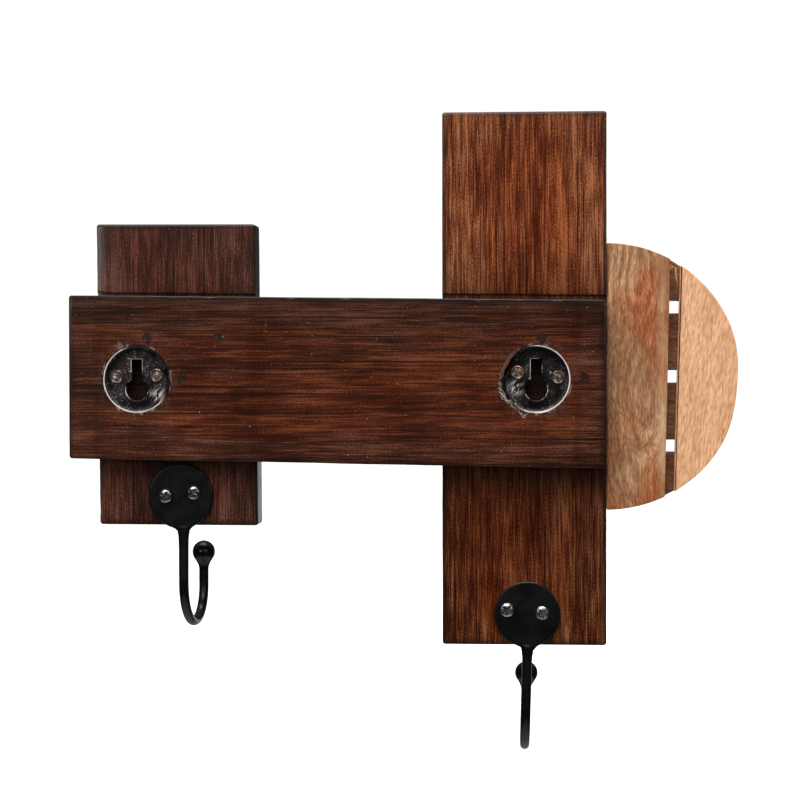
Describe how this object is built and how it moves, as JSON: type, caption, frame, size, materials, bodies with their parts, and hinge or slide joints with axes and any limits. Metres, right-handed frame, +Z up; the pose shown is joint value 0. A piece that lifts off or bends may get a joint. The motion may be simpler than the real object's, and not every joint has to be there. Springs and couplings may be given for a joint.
{
  "type": "wall hook rack",
  "caption": "Wall hook rack of dark stained boards in an aeroplane layout with a half round slatted nose, ball-tipped J hooks and keyhole hangers.",
  "frame": {"origin": "centre of the rail's back face, which lies against the wall", "axes": "+Y into the wall, -Y into the room, +Z up, +X along the rail towards the tail board"},
  "size_m": [0.3558, 0.0625, 0.3441],
  "materials": {
    "dark_stained_wood": "glossy dark lacquer over a reddish brown stain, with near-black grain streaks",
    "brown_mango_wood": "clear matt finish on swirling brown mango wood",
    "pale_mango_wood": "clear matt finish on pale straight-grained mango wood",
    "slat_mango_wood": "clear matt finish on mango wood",
    "hanger_steel": "dull dark pressed steel with a bright rim and scratches",
    "coppered_nail": "dull coppery nail heads with a bright edge",
    "black_metal": "satin black powder coat on steel",
    "zinc_screw": "bright zinc-plated steel",
    "hidden_steel": "plain steel, out of sight",
    "stained_filler": "wood filler stained and lacquered with the rail"
  },
  "bodies": {
    "root": {"rail_board": "dark_stained_wood", "tail_board": "dark_stained_wood", "wing_board": "dark_stained_wood", "nose_inner_batten": "brown_mango_wood", "nose_outer_batten": "pale_mango_wood", "nose_top_slat": "slat_mango_wood", "nose_upper_slat": "slat_mango_wood", "nose_lower_slat": "slat_mango_wood", "nose_bottom_slat": "slat_mango_wood", "nose_dowels": "slat_mango_wood", "tail_hanger_plate": "hanger_steel", "wing_hanger_plate": "hanger_steel", "tail_hanger_nails": "coppered_nail", "wing_hanger_nails": "coppered_nail", "tail_hook_plate": "black_metal", "wing_hook_plate": "black_metal", "tail_hook_rod": "black_metal", "wing_hook_rod": "black_metal", "tail_hook_screws": "zinc_screw", "wing_hook_screws": "zinc_screw", "tail_joint_screws": "hidden_steel", "wing_joint_screws": "hidden_steel", "nose_brads": "hidden_steel", "tail_filler_plugs": "stained_filler", "wing_filler_plugs": "stained_filler"}
  },
  "joints": []
}
